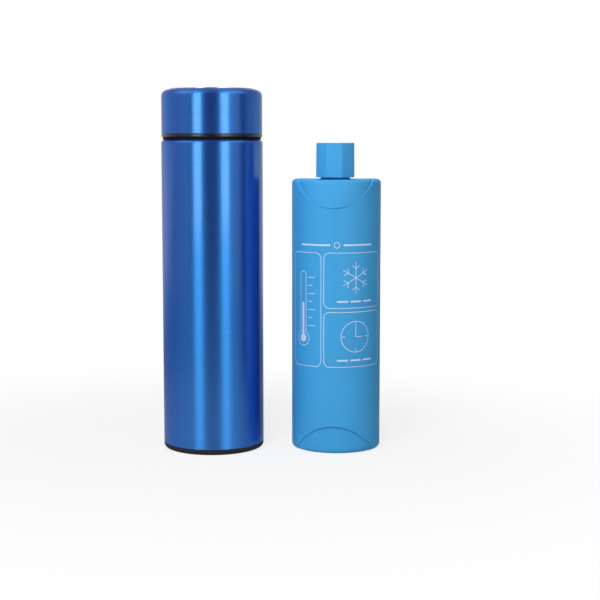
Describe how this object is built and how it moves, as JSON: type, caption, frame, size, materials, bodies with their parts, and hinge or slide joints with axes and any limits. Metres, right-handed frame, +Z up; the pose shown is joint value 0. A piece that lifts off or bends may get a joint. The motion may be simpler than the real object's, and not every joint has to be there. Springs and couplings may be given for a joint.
{
  "type": "insulin cooling case",
  "caption": "Tall round vacuum-walled case with a screw lid and temperature display that keeps injection pens cold, with the gel-filled bottle that cools it standing beside it.",
  "frame": {"origin": "centre of the case's flat foot, on the table", "axes": "+Z up along the case's axis, -Y towards the front of the picture, +X towards the gel bottle"},
  "size_m": [0.1518, 0.07, 0.2495],
  "materials": {
    "blue_coat": "satin metallic blue over fine circumferential brushing",
    "bare_steel": "brushed",
    "plated_steel": "satin silver",
    "copper_foil": "bright foil",
    "seal_metal": "dull",
    "black_rubber": "matte",
    "black_plastic": "satin",
    "silicone": "matte",
    "pale_foam": "closed-cell foam",
    "smoked_acrylic": "gloss",
    "display_grey": "semi-gloss",
    "board_green": "solder resist",
    "lead_jacket": "matte",
    "bottle_plastic": "semi-matte blow-moulded",
    "gel": "clear blue gel"
  },
  "bodies": {
    "case": {"outer_shell": "blue_coat", "shell_base_plate": "bare_steel", "inner_liner": "bare_steel", "reflective_foil": "copper_foil", "getter_tablet": "seal_metal", "vacuum_seal": "seal_metal", "base_pad": "black_rubber"},
    "lid_seal": {"lid_gasket": "silicone"},
    "lid": {"lid_shell": "blue_coat", "lid_cup": "black_plastic", "lid_foam": "pale_foam", "top_plate": "plated_steel", "display_window": "smoked_acrylic", "display_module": "display_grey", "circuit_board": "board_green", "board_screw_1": "bare_steel", "board_screw_2": "bare_steel", "board_screw_3": "bare_steel", "electronics_tray": "black_plastic", "coin_cell": "plated_steel", "battery_clip": "bare_steel", "temperature_probe": "plated_steel", "probe_seal": "silicone", "probe_nut": "plated_steel", "probe_lead": "lead_jacket"},
    "bottle": {"gel_bottle": "bottle_plastic", "gel_fill": "gel"},
    "cap_seal": {"cap_liner": "silicone"},
    "cap": {"bottle_cap": "bottle_plastic"}
  },
  "joints": [
    {"name": "lid_rise", "type": "slide", "parent": "case", "child": "lid_seal", "axis": [0, 0, 1], "range_m": [0, 0.0079]},
    {"name": "lid_turn", "type": "hinge", "parent": "lid_seal", "child": "lid", "pos_m": [0, 0, 0.2275], "axis": [0, 0, 1], "range_deg": [0, 630]},
    {"name": "bottle_lift", "type": "slide", "parent": "case", "child": "bottle", "axis": [0, 0, 1], "range_m": [0, 0.23]},
    {"name": "cap_rise", "type": "slide", "parent": "bottle", "child": "cap_seal", "axis": [0, 0, 1], "range_m": [0, 0.00641]},
    {"name": "cap_turn", "type": "hinge", "parent": "cap_seal", "child": "cap", "pos_m": [0.08481, -0.01239, 0.2], "axis": [0, 0, 1], "range_deg": [0, 720]}
  ],
  "couplings": [
    {"joint": "lid_rise", "follows": "lid_turn", "m_per_rad": 0.0007162},
    {"joint": "cap_rise", "follows": "cap_turn", "m_per_rad": 0.0005093}
  ]
}
